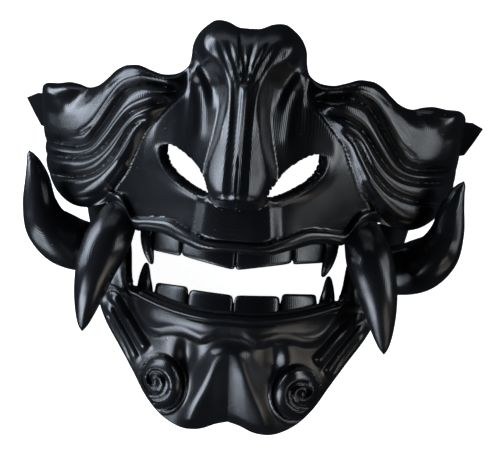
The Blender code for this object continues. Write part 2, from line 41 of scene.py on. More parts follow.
# sizes that every piece shares, in metres
mask = {
    "halfWidth": 0.100,  # one share across the face, from its middle
    "halfHeight": 0.100,  # one share up or down the face
    "depth": 0.100,  # one share towards the viewer
    "centreShift": 0.0022,  # moves the box's centre onto the origin
    "rimLevel": 0.0120,  # depth of the flat back rim in the tables, moved onto the floor
    "wall": 0.0030,
    "rimBlend": (0, 0.006),  # over this height the wall turns level with the flat rim
    "rimRound": 0.0004,
    "rimAngle": 60,  # degrees; only sharper edges are rounded
    "ridgeFade": (-0.02, 0.22),  # share of its line over which a ridge rises
}


def metres(across, up):
    # shares times the mask's sizes
    return across * mask["halfWidth"], up * mask["halfHeight"]


def place(across, up, out):
    # point = shares times the mask's sizes, then moved onto the floor
    x, y = metres(across, up)
    return np.stack((x, y + mask["centreShift"], out * mask["depth"] - mask["rimLevel"]), axis=-1)


def follow(table, share):
    # piecewise cubic through the rows of a table; a slope is the mean of both neighbours, and 0 at a turn
    table = np.asarray(table, float)
    knots, values = table[:, 0], table[:, 1:]
    step = np.diff(knots)[:, None]
    slope = np.diff(values, axis=0) / step
    turn = np.where(slope[1:] * slope[:-1] > 0, (slope[1:] + slope[:-1]) / 2, 0)
    tangent = np.concatenate((slope[:1], turn, slope[-1:]))
    at = np.clip(np.searchsorted(knots, share, side="right") - 1, 0, len(knots) - 2)
    t = np.clip((share - knots[at]) / step[at, 0], 0, 1)[..., None]
    lead, trail = tangent[at] * step[at], tangent[at + 1] * step[at]
    return (values[at] * (1 + 2 * t) * (1 - t) ** 2 + values[at + 1] * t * t * (3 - 2 * t)
            + lead * t * (1 - t) ** 2 - trail * t * t * (1 - t))


def ease(value, low, high):
    # smooth step: 3 t^2 - 2 t^3 between low and high
    t = np.clip((value - low) / (high - low), 0, 1)
    return t * t * (3 - 2 * t)


def bell(value, width):
    # e to the minus square of value over width: 1 in the middle, 0 far off
    return np.exp(-(value / width) ** 2)


def spot(across, up, shape):
    # round bell: e to the minus sum of both squares, from the shape's centre and spreads across and up
    x, y, wide, tall = shape
    return np.exp(-(((across - x) / wide) ** 2 + ((up - y) / tall) ** 2))


def dome(distance, width):
    # quarter circle: 0 on the edge, 1 one width inside it
    return np.sqrt(np.clip(1 - (1 - np.clip(distance / width, 0, 1)) ** 2, 0, 1))


def grid(columns, rows):
    # run from -1 to 1 over the columns, climb from 0 to 1 over the rows
    return np.meshgrid(np.linspace(-1, 1, columns + 1), np.linspace(0, 1, rows + 1), indexing="ij")


def rounded(line, steps=6):
    # corner line resampled as a Catmull-Rom curve: each span is a cubic set by four neighbours
    p = np.asarray(line, float)
    p = np.concatenate((2 * p[:1] - p[1:2], p, 2 * p[-1:] - p[-2:-1]))
    t = np.linspace(0, 1, steps, endpoint=False)[None, :, None]
    a, b, c, d = (p[n:len(p) - 3 + n, None] for n in range(4))
    fine = 0.5 * (2 * b + (c - a) * t + (2 * a - 5 * b + 4 * c - d) * t ** 2 + (3 * b - a - 3 * c + d) * t ** 3)
    return np.concatenate((fine.reshape(-1, p.shape[1]), p[-2:-1]))


def lineDistance(across, up, line):
    # distance from each point to a rounded line in metres, and the share of the line where it is met
    line = rounded(line) * (mask["halfWidth"], mask["halfHeight"])
    x, y = metres(across, up)
    best, share = np.full(x.shape, np.inf), np.zeros(x.shape)
    for number in range(len(line) - 1):
        start, run = line[number], line[number + 1] - line[number]
        t = np.clip(((x - start[0]) * run[0] + (y - start[1]) * run[1]) / (run @ run), 0, 1)
        far = np.hypot(x - start[0] - t * run[0], y - start[1] - t * run[1])
        share = np.where(far < best, (number + t) / (len(line) - 1), share)
        best = np.minimum(best, far)
    return best, share


def outlineDistance(across, up, corners):
    # signed distance to a closed rounded outline in metres, negative inside, and the nearest point on it
    corner = rounded(corners + corners[:1], 5) * (mask["halfWidth"], mask["halfHeight"])
    x, y = metres(across, up)
    best, inside = np.full(x.shape, np.inf), np.zeros(x.shape, bool)
    near = np.zeros(x.shape + (2,))
    for start, end in zip(corner[:-1], corner[1:]):
        run = end - start
        t = np.clip(((x - start[0]) * run[0] + (y - start[1]) * run[1]) / (run @ run), 0, 1)
        foot = start + t[..., None] * run
        far = np.hypot(x - foot[..., 0], y - foot[..., 1])
        near = np.where((far < best)[..., None], foot, near)
        best = np.minimum(best, far)
        crosses = (start[1] > y) != (end[1] > y)
        slope = np.where(crosses, (y - start[1]) / np.where(run[1] == 0, 1e-12, run[1]), 0)
        inside ^= crosses & (x < start[0] + slope * run[0])
    return np.where(inside, -best, best), near


def mirrored(corners):
    # same corners on the other side of the middle, in the order that closes the outline
    return tuple((-x, y) for x, y in reversed(corners) if x > 0)


def ridges(across, up, lines, sharp):
    # highest of the ridges: height times cosine^sharp of the distance over the spread, faded at both ends
    total = np.zeros(across.shape)
    for height, spread, line in lines:
        far, share = lineDistance(across, up, line)
        fade = ease(np.minimum(share, 1 - share), *mask["ridgeFade"])
        hump = np.cos(np.minimum(far / spread, 1) * math.pi / 2) ** sharp
        total = np.maximum(total, height * fade * hump)
    return total


def outward(points):
    # unit cross product of the grid's two directions
    square = np.cross(np.gradient(points, axis=0), np.gradient(points, axis=1))
    return square / np.maximum(np.linalg.norm(square, axis=-1, keepdims=True), 1e-12)


def gridQuads(columns, rows, closed=False):
    # quads of a grid counted row by row inside each column; a closed one joins its last row to its first
    first = np.arange(columns)[:, None] * (rows + (0 if closed else 1))
    here = np.arange(rows)
    after = (here + 1) % rows if closed else here + 1
    jump = rows if closed else rows + 1
    corners = (first + here, first + jump + here, first + jump + after, first + after)
    return np.stack(corners, axis=-1).reshape(-1, 4)


def thickened(points, quads, inward):
    # outer quads, the same quads turned over on the moved copy, and a wall quad on each edge that one quad uses
    count = len(points)
    start = quads.ravel()
    end = np.roll(quads, -1, axis=1).ravel()
    code, back = start * count + end, end * count + start
    alone = ~np.isin(code, back)
    sides = np.stack((end[alone], start[alone], start[alone] + count, end[alone] + count), axis=-1)
    faces = np.concatenate((quads, quads[:, ::-1] + count, sides))
    used, order = np.unique(faces, return_inverse=True)
    return np.concatenate((points, points + inward))[used], order.reshape(faces.shape)


def added(name, data):
    # new object in the scene
    made = bpy.data.objects.new(name, data)
    bpy.context.scene.collection.objects.link(made)
    return made


def newPiece(name, points, faces, material, nodes):
    # smooth mesh that rides the body and stands in for its nodes of the frame
    mesh = bpy.data.meshes.new(name)
    mesh.from_pydata(points.tolist(), [], [tuple(f) for f in faces])
    mesh.polygons.foreach_set("use_smooth", np.ones(len(mesh.polygons), bool))
    mesh.update()
    mesh.materials.append(material)
    piece = added(name, mesh)
    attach(piece, "root")
    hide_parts(*nodes)
    return piece


def softRim(piece):
    # small bevel on every edge that is sharper than the angle
    edge = piece.modifiers.new("rim", "BEVEL")
    edge.width = mask["rimRound"]
    edge.segments = 2
    edge.limit_method = "ANGLE"
    edge.angle_limit = math.radians(mask["rimAngle"])


# finish of all pieces: black print with layer lines
finish = {
    "black": (0.0042, 0.0044, 0.0052),
    "worn": (0.0070, 0.0074, 0.0088),  # paler film on some spots
    "roughLow": 0.20,
    "roughHigh": 0.29,
    "layerHeight": 0.00040,  # one printed layer, in metres
    "layerBump": 0.22,
    "layerDeep": 0.0002,  # metres
    "layerBend": 0.25,
    "layerLeast": 0.15,  # share of the bump that is left where the layers fade
    "specular": 0.50,
    "ior": 1.50,
    "dust": (0.30, 0.30, 0.31),
    "dustShare": 0.80,  # higher keeps fewer specks
    "dustStep": 0.02,  # softness of that limit
    "dustScale": 900,
    "dustSize": (0.16, 0.10),  # a speck fades from the second number to the first
    # scale | detail | low | high
    "wornNoise": (26, 3, 0.42, 0.72),
    "glossNoise": (30, 3, 0.35, 0.68),
    "layerNoise": (48, 2, 0.38, 0.66),
    "dustNoise": (700, 0),
}


def printedPlastic(name, tint=1.0, rough=0.0, layers=1.0):
    # black print: layer lines are a wave along the depth, film and gloss follow a noise each, dust is specks
    material = bpy.data.materials.new(name)
    material.use_nodes = True
    tree = material.node_tree
    nodes, links = tree.nodes, tree.links
    surface = nodes["Principled BSDF"]
    surface.inputs["Specular IOR Level"].default_value = finish["specular"]
    surface.inputs["IOR"].default_value = finish["ior"]
    where = nodes.new("ShaderNodeTexCoord").outputs["Object"]

    def noise(scale, detail):
        # soft random field over the object
        made = nodes.new("ShaderNodeTexNoise")
        made.inputs["Scale"].default_value = scale
        made.inputs["Detail"].default_value = detail
        links.new(where, made.inputs["Vector"])
        return made.outputs["Fac"]

    def spread(value, low, high, toLow, toHigh):
        # straight line from low, high to toLow, toHigh, clamped
        made = nodes.new("ShaderNodeMapRange")
        for socket, number in zip(("From Min", "From Max", "To Min", "To Max"), (low, high, toLow, toHigh)):
            made.inputs[socket].default_value = number
        links.new(value, made.inputs["Value"])
        return made.outputs["Result"]

    def noiseBetween(scale, detail, low, high, toLow, toHigh):
        # that noise, spread from low, high to toLow, toHigh
        return spread(noise(scale, detail), low, high, toLow, toHigh)

    def times(first, second):
        # product of both
        made = nodes.new("ShaderNodeMath")
        made.operation = "MULTIPLY"
        links.new(first, made.inputs[0])
        links.new(second, made.inputs[1])
        return made.outputs[0]

    def blend(factor, first, second):
        # first colour where the factor is 0, second where it is 1
        made = nodes.new("ShaderNodeMix")
        made.data_type = "RGBA"
        links.new(factor, made.inputs["Factor"])
        for socket, shade in (("A", first), ("B", second)):
            if isinstance(shade, tuple):
                made.inputs[socket].default_value = (*shade, 1)
            else:
                links.new(shade, made.inputs[socket])
        return made.outputs["Result"]

    # colour: black, a little paler where a broad noise is high, with rare grey specks
    speck = nodes.new("ShaderNodeTexVoronoi")
    speck.inputs["Scale"].default_value = finish["dustScale"]
    links.new(where, speck.inputs["Vector"])
    near = spread(speck.outputs["Distance"], *finish["dustSize"], 0, 1)
    limit = finish["dustShare"]
    dusty = times(near, spread(noise(*finish["dustNoise"]), limit - finish["dustStep"], limit, 0, 1))
    black = tuple(shade * tint for shade in finish["black"])
    worn = tuple(shade * tint for shade in finish["worn"])
    body = blend(noiseBetween(*finish["wornNoise"], 0, 1), black, worn)
    links.new(blend(dusty, body, finish["dust"]), surface.inputs["Base Color"])

    # roughness: broad soft patches
    gloss = noiseBetween(*finish["glossNoise"], finish["roughLow"] + rough, finish["roughHigh"] + rough)
    links.new(gloss, surface.inputs["Roughness"])

    # relief: printed layers, uneven where a noise fades them
    wave = nodes.new("ShaderNodeTexWave")
    wave.wave_type, wave.bands_direction, wave.wave_profile = "BANDS", "Z", "SIN"
    wave.inputs["Scale"].default_value = math.tau / 20 / finish["layerHeight"]  # tau / 20 is one band
    wave.inputs["Distortion"].default_value = finish["layerBend"]
    wave.inputs["Detail"].default_value = 1
    links.new(where, wave.inputs["Vector"])
    layer = times(wave.outputs["Fac"], noiseBetween(*finish["layerNoise"], finish["layerLeast"], 1.0))
    bump = nodes.new("ShaderNodeBump")
    bump.inputs["Strength"].default_value = finish["layerBump"] * layers
    bump.inputs["Distance"].default_value = finish["layerDeep"]
    links.new(layer, bump.inputs["Height"])
    links.new(bump.outputs["Normal"], surface.inputs["Normal"])
    return material


shellBlack = printedPlastic("shell black")
jawBlack = printedPlastic("jaw black", rough=0.01)
tuskBlack = printedPlastic("tusk black", tint=1.1, rough=-0.01, layers=1.3)
toothBlack = printedPlastic("tooth black", tint=1.1, rough=0.03)
tabBlack = printedPlastic("tab black", rough=0.06)
print("materials ready")

# face: nose, crest, flame locks, upper lip; rises, drops and rounded widths are in metres, places in shares
# a plain pair of numbers is where a smooth step starts and where it is done
face = {
    "columns": 294,
    "rows": 124,
    "browFrom": -0.05,  # up, where lowOut starts to give way to highOut
    "browSpan": 0.65,
    "browMost": 1.4,
    "sideFrom": (0.78, 0.92),  # share of the run where the heights in edge take over
    "reliefEnd": (0.93, 0.99),  # share of the run
    "bulge": 0.035,  # share of depth that a column's middle stands out
    "innerRelief": 0.35,  # share of the relief that turns the wall
    "snapReach": 0.00034,  # points this near to an opening move onto its outline
    "slantEdge": (-0.0045, -0.0005),
    "noseRise": 0.0210,
    "noseFlat": 0.0050,  # half width of the flat strip down the nose
    "ridgeRise": 0.0009,  # thin ridge along the middle of that strip
    "ridgeWidth": 0.0013,
    "ridgeEdge": (0.001, 0.003),
    "ridgeEnd": (0.50, 0.58),
    "roofSlope": 0.56,  # fall of the two facets beside it
    "roofReach": 0.14,  # across, where they stop falling
    "roofEnd": (0.56, 0.76),
    # flanks of the nose at its tip and on its bridge: share | metres inside the outline, from and to
    "tipFlank": ((0.90, -0.0013, 0.0018), (0.10, -0.0010, 0.0050)),
    "bridgeFlank": ((0.08, -0.0070, 0.0030), (0.92, -0.0018, 0.0026)),
    "bridgeFrom": (0.24, 0.40),
    "lipRise": 0.0040,
    "lipPower": 3,  # higher makes the lip flatter and its sides steeper
    "lipLeast": 0.02,  # least height of the lip, share up
    "lipEnd": (0.52, 0.60),
    "grooveDrop": 0.0006,
    "grooveSharp": 1.0,
    # share | foot across, up, out | head across, up, out
    "edge": (
        (0.00, 0.000, -0.105, 0.82, 0.000, 0.803, 0.92),
        (0.04, 0.040, -0.106, 0.82, 0.045, 0.806, 0.92),
        (0.08, 0.080, -0.108, 0.82, 0.090, 0.828, 0.92),
        (0.12, 0.120, -0.106, 0.81, 0.135, 0.835, 0.91),
        (0.16, 0.155, -0.102, 0.80, 0.180, 0.813, 0.89),
        (0.20, 0.190, -0.090, 0.785, 0.213, 0.780, 0.86),
        (0.24, 0.220, -0.079, 0.77, 0.233, 0.735, 0.83),
        (0.28, 0.250, -0.070, 0.75, 0.238, 0.685, 0.81),
        (0.32, 0.275, -0.060, 0.73, 0.252, 0.642, 0.80),
        (0.36, 0.310, -0.048, 0.71, 0.290, 0.615, 0.80),
        (0.40, 0.350, -0.042, 0.68, 0.345, 0.608, 0.80),
        (0.44, 0.390, -0.040, 0.655, 0.400, 0.622, 0.79),
        (0.48, 0.425, -0.044, 0.63, 0.455, 0.642, 0.77),
        (0.52, 0.455, -0.028, 0.61, 0.505, 0.643, 0.74),
        (0.56, 0.490, 0.020, 0.59, 0.555, 0.625, 0.70),
        (0.60, 0.530, 0.060, 0.57, 0.595, 0.592, 0.66),
        (0.64, 0.580, 0.065, 0.54, 0.635, 0.564, 0.62),
        (0.68, 0.630, 0.052, 0.51, 0.685, 0.552, 0.58),
        (0.72, 0.680, 0.040, 0.48, 0.735, 0.566, 0.55),
        (0.76, 0.730, 0.044, 0.44, 0.785, 0.574, 0.52),
        (0.80, 0.780, 0.063, 0.39, 0.840, 0.570, 0.48),
        (0.84, 0.830, 0.100, 0.34, 0.885, 0.572, 0.47),
        (0.88, 0.870, 0.145, 0.28, 0.918, 0.563, 0.42),
        (0.92, 0.898, 0.185, 0.22, 0.936, 0.545, 0.34),
        (0.96, 0.908, 0.205, 0.16, 0.944, 0.530, 0.23),
        (1.00, 0.910, 0.212, 0.12, 0.948, 0.526, 0.12)),
    # height of the bare face by across: near the mouth and near the brow
    "lowOut": (
        (0.000, 0.820), (0.080, 0.818), (0.155, 0.802), (0.220, 0.776), (0.275, 0.742), (0.350, 0.690),
        (0.425, 0.636), (0.490, 0.590), (0.580, 0.535), (0.680, 0.475), (0.780, 0.390), (0.830, 0.330),
        (0.870, 0.260), (0.930, 0.160)),
    "highOut": (
        (0.000, 0.885), (0.100, 0.858), (0.200, 0.824), (0.290, 0.808), (0.340, 0.798), (0.400, 0.781),
        (0.450, 0.759), (0.505, 0.727), (0.595, 0.662), (0.685, 0.590), (0.785, 0.530), (0.840, 0.490),
        (0.890, 0.440), (0.925, 0.380), (0.960, 0.300)),
    # outline of the nose from its tip up to the crest, and its height by up as a share of noseRise
    "noseLine": (
        (0.000, 0.084), (0.056, 0.086), (0.094, 0.096), (0.116, 0.120), (0.131, 0.160), (0.137, 0.205),
        (0.133, 0.250), (0.120, 0.300), (0.106, 0.350), (0.095, 0.410), (0.088, 0.470), (0.088, 0.540),
        (0.108, 0.610), (0.160, 0.660), (0.200, 0.720), (0.190, 0.790), (0.130, 0.860), (0.000, 0.860)),
    "noseRises": (
        (-0.12, 1.00), (0.080, 1.16), (0.120, 1.13), (0.180, 1.09), (0.240, 1.03), (0.300, 0.97),
        (0.380, 0.88), (0.460, 0.78), (0.560, 0.64), (0.640, 0.48), (0.740, 0.30), (0.800, 0.16),
        (0.860, 0.00)),
    "crestRise": 0.0040,
    "crestRound": 0.0085,
    "crestFrom": (0.56, 0.68),
    "crestEnd": (0.20, 0.30),
    "lobeRise": 0.0014,
    "lobeRound": 0.006,
    "lobe": (0.135, 0.735, 0.068, 0.095),  # across, up, spread across, spread up
    "valleyDrop": 0.0020,
    "valleyWide": 0.012,  # half width at its foot, share across
    "valleyGrow": 0.10,  # more of it for each share up
    "valleyLeast": 0.006,
    "valleyFoot": 0.58,
    "valleyFrom": (0.56, 0.72),
    "tuckDrop": 0.0017,
    "tuckSharp": 2.0,
    # line of the head over the crest: across | up
    "crestEdge": (
        (-0.03, 0.806), (0.00, 0.803), (0.045, 0.806), (0.090, 0.828), (0.135, 0.835), (0.180, 0.813),
        (0.213, 0.780), (0.233, 0.735), (0.238, 0.685), (0.252, 0.642), (0.290, 0.615)),
    # folds that tuck in below each lobe: depth share | spread | across, up ...
    "tucks": (
        (1.00, 0.0040, ((0.270, 0.650), (0.235, 0.662), (0.200, 0.658), (0.165, 0.610), (0.138, 0.545),
                        (0.120, 0.470))),
        (0.30, 0.0034, ((0.225, 0.600), (0.200, 0.545), (0.185, 0.480), (0.180, 0.400), (0.178, 0.340)))),
    # lip crease: across | up
    "crease": (
        (0.00, -0.064), (0.08, -0.062), (0.124, -0.056), (0.164, -0.040), (0.23, -0.010), (0.284, 0.015),
        (0.375, 0.018), (0.444, 0.014), (0.502, 0.100), (0.56, 0.120), (1.00, 0.300)),
    "lockRise": 0.0074,
    "lockRound": 0.0060,  # towards the mask's edge
    "lockFrom": (0.24, 0.34),
    "lockEnd": (0.890, 0.950),
    "borderRound": 0.0080,  # towards the cheek
    "furrowShape": ((0.75, 0.6), (0.25, 1.1)),  # share of the depth | share of the width
    "furrowFrom": (-0.01, 0.14),  # share of its line
    # furrows between the flame locks: depth share | width in metres | across, up ...
    "furrows": (
        (0.85, 0.0066, ((0.240, 0.560), (0.277, 0.546), (0.350, 0.556), (0.416, 0.564), (0.493, 0.538),
                        (0.537, 0.494), (0.611, 0.388), (0.660, 0.325), (0.705, 0.303), (0.760, 0.300),
                        (0.850, 0.314), (0.930, 0.330))),
        (0.55, 0.0046, ((0.290, 0.492), (0.350, 0.487), (0.400, 0.475), (0.470, 0.445), (0.515, 0.400),
                        (0.570, 0.330), (0.620, 0.280), (0.680, 0.252), (0.760, 0.246), (0.860, 0.258),
                        (0.930, 0.268))),
        (0.48, 0.0048, ((0.385, 0.425), (0.430, 0.410), (0.465, 0.385), (0.495, 0.340), (0.530, 0.285),
                        (0.580, 0.230), (0.630, 0.193), (0.700, 0.170), (0.770, 0.166), (0.860, 0.174),
                        (0.920, 0.190))),
        (0.14, 0.0050, ((0.450, 0.330), (0.480, 0.280), (0.515, 0.218), (0.560, 0.158), (0.620, 0.100),
                        (0.700, 0.080), (0.780, 0.085))),
        (0.10, 0.0034, ((0.470, 0.580), (0.535, 0.535), (0.590, 0.470), (0.645, 0.395), (0.700, 0.352))),
        (0.08, 0.0036, ((0.360, 0.585), (0.420, 0.600), (0.480, 0.602), (0.540, 0.582), (0.585, 0.550)))),
    # hollow of the outer end
    "dishDrop": 0.0022,
    "dishTilt": 0.0070,  # the hollow's outer side is raised by this, so that it faces the viewer
    "dishAxis": 0.74,  # across, where the tilt changes nothing
    "dishReach": 0.14,
    "dishLeast": -0.3,
    "dishEdge": (-0.0020, 0.0060),
    "dish": (
        (0.632, 0.546), (0.660, 0.512), (0.690, 0.483), (0.740, 0.455), (0.788, 0.444), (0.837, 0.446),
        (0.872, 0.462), (0.898, 0.500), (0.912, 0.560), (0.880, 0.610), (0.840, 0.620), (0.785, 0.620),
        (0.735, 0.610), (0.680, 0.590)),
    "muzzleRise": 0.0026,
    "muzzleWide": 0.132,  # half width, share across
    "muzzleTaper": 0.10,  # less of it for each share up
    "muzzleSide": (-0.056, 0.000),
    "muzzleFrom": (0.9, 1.2),  # heights of the lip
    "muzzleEnd": (0.12, 0.17),
    # raised field round each opening
    "eyeRise": 0.0011,
    "eyeEdge": (-0.0026, 0.0026),
    "eyeFrom": (0.18, 0.30),
    "eyeField": (
        (0.240, 0.535), (0.300, 0.500), (0.345, 0.455), (0.378, 0.405), (0.394, 0.360), (0.396, 0.310),
        (0.383, 0.260), (0.355, 0.215), (0.310, 0.175), (0.240, 0.125), (0.150, 0.080), (0.050, 0.200),
        (0.050, 0.500)),
    # bead along the lower side of each opening
    "rimRise": 0.0012,
    "rimAt": 0.0006,  # metres outside the outline
    "rimWidth": 0.0011,
    "rimLean": 0.5,  # how much of the way across counts as way down
    "rimEdge": (-0.0006, 0.0012),
    # fine lines from the crest down the nose: depth share | spread | across, up ...
    "grooves": (
        (1.60, 0.0014, ((0.036, 0.800), (0.026, 0.730), (0.010, 0.640), (0.002, 0.580), (0.000, 0.540))),
        (1.00, 0.0012, ((0.094, 0.770), (0.062, 0.690), (0.022, 0.575), (0.014, 0.500), (0.013, 0.400),
                        (0.012, 0.250))),
        (0.90, 0.0012, ((0.130, 0.760), (0.088, 0.670), (0.046, 0.580), (0.032, 0.500), (0.028, 0.400),
                        (0.026, 0.280))),
        (0.60, 0.0014, ((0.158, 0.735), (0.118, 0.630), (0.078, 0.540), (0.064, 0.470), (0.058, 0.380),
                        (0.056, 0.300)))),
    # walls of the openings go in along this line
    "openingSlant": (-0.0028, 0.0016, -0.0036),
    # border between the locks and the cheek: across | up
    "border": (
        (0.24, 0.540), (0.286, 0.504), (0.329, 0.462), (0.385, 0.395), (0.413, 0.359), (0.429, 0.327),
        (0.445, 0.289), (0.467, 0.243), (0.482, 0.207), (0.530, 0.145), (0.60, 0.080), (1.00, -0.2)),
    "opening": (
        (0.120, 0.126), (0.127, 0.147), (0.137, 0.169), (0.150, 0.193), (0.165, 0.218), (0.183, 0.240),
        (0.206, 0.263), (0.231, 0.284), (0.260, 0.303), (0.291, 0.317), (0.318, 0.322), (0.337, 0.308),
        (0.338, 0.280), (0.330, 0.251), (0.314, 0.224), (0.285, 0.194), (0.250, 0.168), (0.210, 0.145),
        (0.175, 0.128), (0.145, 0.119)),
}


def noseRelief(far, up, inner):
    # (height from the table - slope times the way beside the flat strip) times the flank's share
    rise = follow(face["noseRises"], up)[..., 0]
    tip, bridge = (sum(share * ease(inner, low, high) for share, low, high in face[part])
                   for part in ("tipFlank", "bridgeFlank"))
    beside = np.maximum(np.minimum(far, face["roofReach"]) * mask["halfWidth"] - face["noseFlat"], 0)
    roof = face["roofSlope"] * beside * (1 - ease(up, *face["roofEnd"]))
    return (face["noseRise"] * rise - roof) * (tip + (bridge - tip) * ease(up, *face["bridgeFrom"]))


def lockRelief(far, up, margin):
    # 1 - (1 - way from the cheek)^2, times 1 - groove for each furrow, minus the hollow, rounded at the edge
    toBorder = lineDistance(far, up, face["border"])[0]
    toBorder = np.where(up > follow(face["border"], far)[..., 0], toBorder, 0)
    body = 1 - (1 - np.clip(toBorder / face["borderRound"], 0, 1)) ** 2
    for depth, width, line in face["furrows"]:
        away, share = lineDistance(far, up, line)
        groove = sum(part * (1 - np.clip(away / width / reach, 0, 1)) ** 2
                     for part, reach in face["furrowShape"])
        body = body * (1 - depth * ease(share, *face["furrowFrom"]) * groove)
    tilt = np.clip((far - face["dishAxis"]) / face["dishReach"], face["dishLeast"], 1)
    dish = face["dishDrop"] - face["dishTilt"] * tilt
    dish = dish * ease(-outlineDistance(far, up, face["dish"])[0], *face["dishEdge"])
    locks = (face["lockRise"] * body - dish) * dome(margin, face["lockRound"]) * ease(far, *face["lockFrom"])
    return locks * (1 - ease(far, *face["lockEnd"])) * (toBorder > 0)


def faceRelief(across, up, foot, head):
    # higher of nose and muzzle, plus ridge, crest, locks, eye fields and lip, minus valley, tuck and grooves
    far = np.abs(across)
    x, y = metres(far, up)
    inner = -outlineDistance(across, up, face["noseLine"] + mirrored(face["noseLine"]))[0]
    nose = noseRelief(far, up, inner)
    ridge = face["ridgeRise"] * bell(x, face["ridgeWidth"])
    ridge = ridge * ease(inner, *face["ridgeEdge"]) * (1 - ease(up, *face["ridgeEnd"]))

    toCrest = lineDistance(far, up, face["crestEdge"])[0]
    crest = face["crestRise"] * dome(toCrest, face["crestRound"])
    crest = crest * ease(up, *face["crestFrom"]) * (1 - ease(far, *face["crestEnd"]))
    lobes = face["lobeRise"] * spot(far, up, face["lobe"]) * dome(toCrest, face["lobeRound"])
    wide = np.maximum(face["valleyWide"] + face["valleyGrow"] * (up - face["valleyFoot"]), face["valleyLeast"])
    valley = face["valleyDrop"] * bell(far, wide) * ease(up, *face["valleyFrom"])
    tuck = face["tuckDrop"] * ridges(far, up, face["tucks"], face["tuckSharp"])
    grooves = face["grooveDrop"] * ridges(far, up, face["grooves"], face["grooveSharp"])
    locks = lockRelief(far, up, np.minimum(up - foot, head - up) * mask["halfHeight"])

    eyeField = face["eyeRise"] * ease(-outlineDistance(far, up, face["eyeField"])[0], *face["eyeEdge"])
    eyeField = eyeField * ease(far, *face["eyeFrom"])
    almond, near = outlineDistance(far, up, face["opening"])
    below = near[..., 1] - y + face["rimLean"] * (x - near[..., 0])
    rim = face["rimRise"] * bell(almond - face["rimAt"], face["rimWidth"]) * ease(below, *face["rimEdge"])

    band = (up - foot) / np.maximum(follow(face["crease"], far)[..., 0] - foot, face["lipLeast"])
    lip = face["lipRise"] * (1 - np.abs(2 * np.clip(band, 0, 1) - 1) ** face["lipPower"])
    lip = lip * (1 - ease(far, *face["lipEnd"]))
    muzzle = ease(face["muzzleWide"] - far - face["muzzleTaper"] * up, *face["muzzleSide"])
    muzzle = face["muzzleRise"] * muzzle * (1 - ease(up, *face["muzzleEnd"])) * ease(band, *face["muzzleFrom"])
    return (np.maximum(nose, muzzle) + ridge + crest + lobes - valley - tuck - grooves + locks
            + eyeField + rim + lip)


def faceGrid(relief=1.0):
    # point = straight line from foot to head, bulged by a sine, plus the relief straight out
    run, climb = grid(face["columns"], face["rows"])
    side = np.abs(run)
    edge = follow(face["edge"], side)
    share = edge[..., :3] + (edge[..., 3:] - edge[..., :3]) * climb[..., None]
    across, up, out = share[..., 0] * np.sign(run), share[..., 1], share[..., 2]
    level = np.clip((up - face["browFrom"]) / face["browSpan"], 0, face["browMost"])
    low, high = (follow(face[part], np.abs(across))[..., 0] for part in ("lowOut", "highOut"))
    out = out + (low + (high - low) * level - out) * (1 - ease(side, *face["sideFrom"]))
    out = out + face["bulge"] * np.sin(climb * math.pi) * (1 - side ** 4)
    height = relief * faceRelief(across, up, edge[..., 1], edge[..., 4]) * (1 - ease(side, *face["reliefEnd"]))
    return place(across, up, out) + height[..., None] * (0, 0, 1), across, up


def faceShell():
    # quads in the openings are dropped; walls go in square to the softened surface, slanting at the openings
    points, across, up = faceGrid()
    almond, near = outlineDistance(np.abs(across), up, face["opening"])
    snap = np.abs(almond) < face["snapReach"]
    flat = np.stack(metres(across, up), axis=-1)
    handed = np.stack((np.sign(across), np.ones(across.shape), np.ones(across.shape)), axis=-1)
    points[..., :2] += np.where(snap[..., None], near * handed[..., :2] - flat, 0)
    quads = gridQuads(face["columns"], face["rows"])
    inside, onLine = almond.ravel() < -face["snapReach"], almond.ravel() < face["snapReach"]
    gone = inside[quads].any(axis=1) | onLine[quads].all(axis=1)
    slant = np.array(face["openingSlant"]) * handed
    soft = outward(faceGrid(relief=face["innerRelief"])[0]) * -mask["wall"]
    soft[..., 2] *= ease(points[..., 2], *mask["rimBlend"])
    inward = soft + (slant - soft) * ease(-almond, *face["slantEdge"])[..., None]
    shell, faces = thickened(points.reshape(-1, 3), quads[~gone], inward.reshape(-1, 3))
    return newPiece("faceSurface", shell, faces, shellBlack, ("face_shell",))


facePiece = faceShell()
softRim(facePiece)
print("face done", len(facePiece.data.polygons))

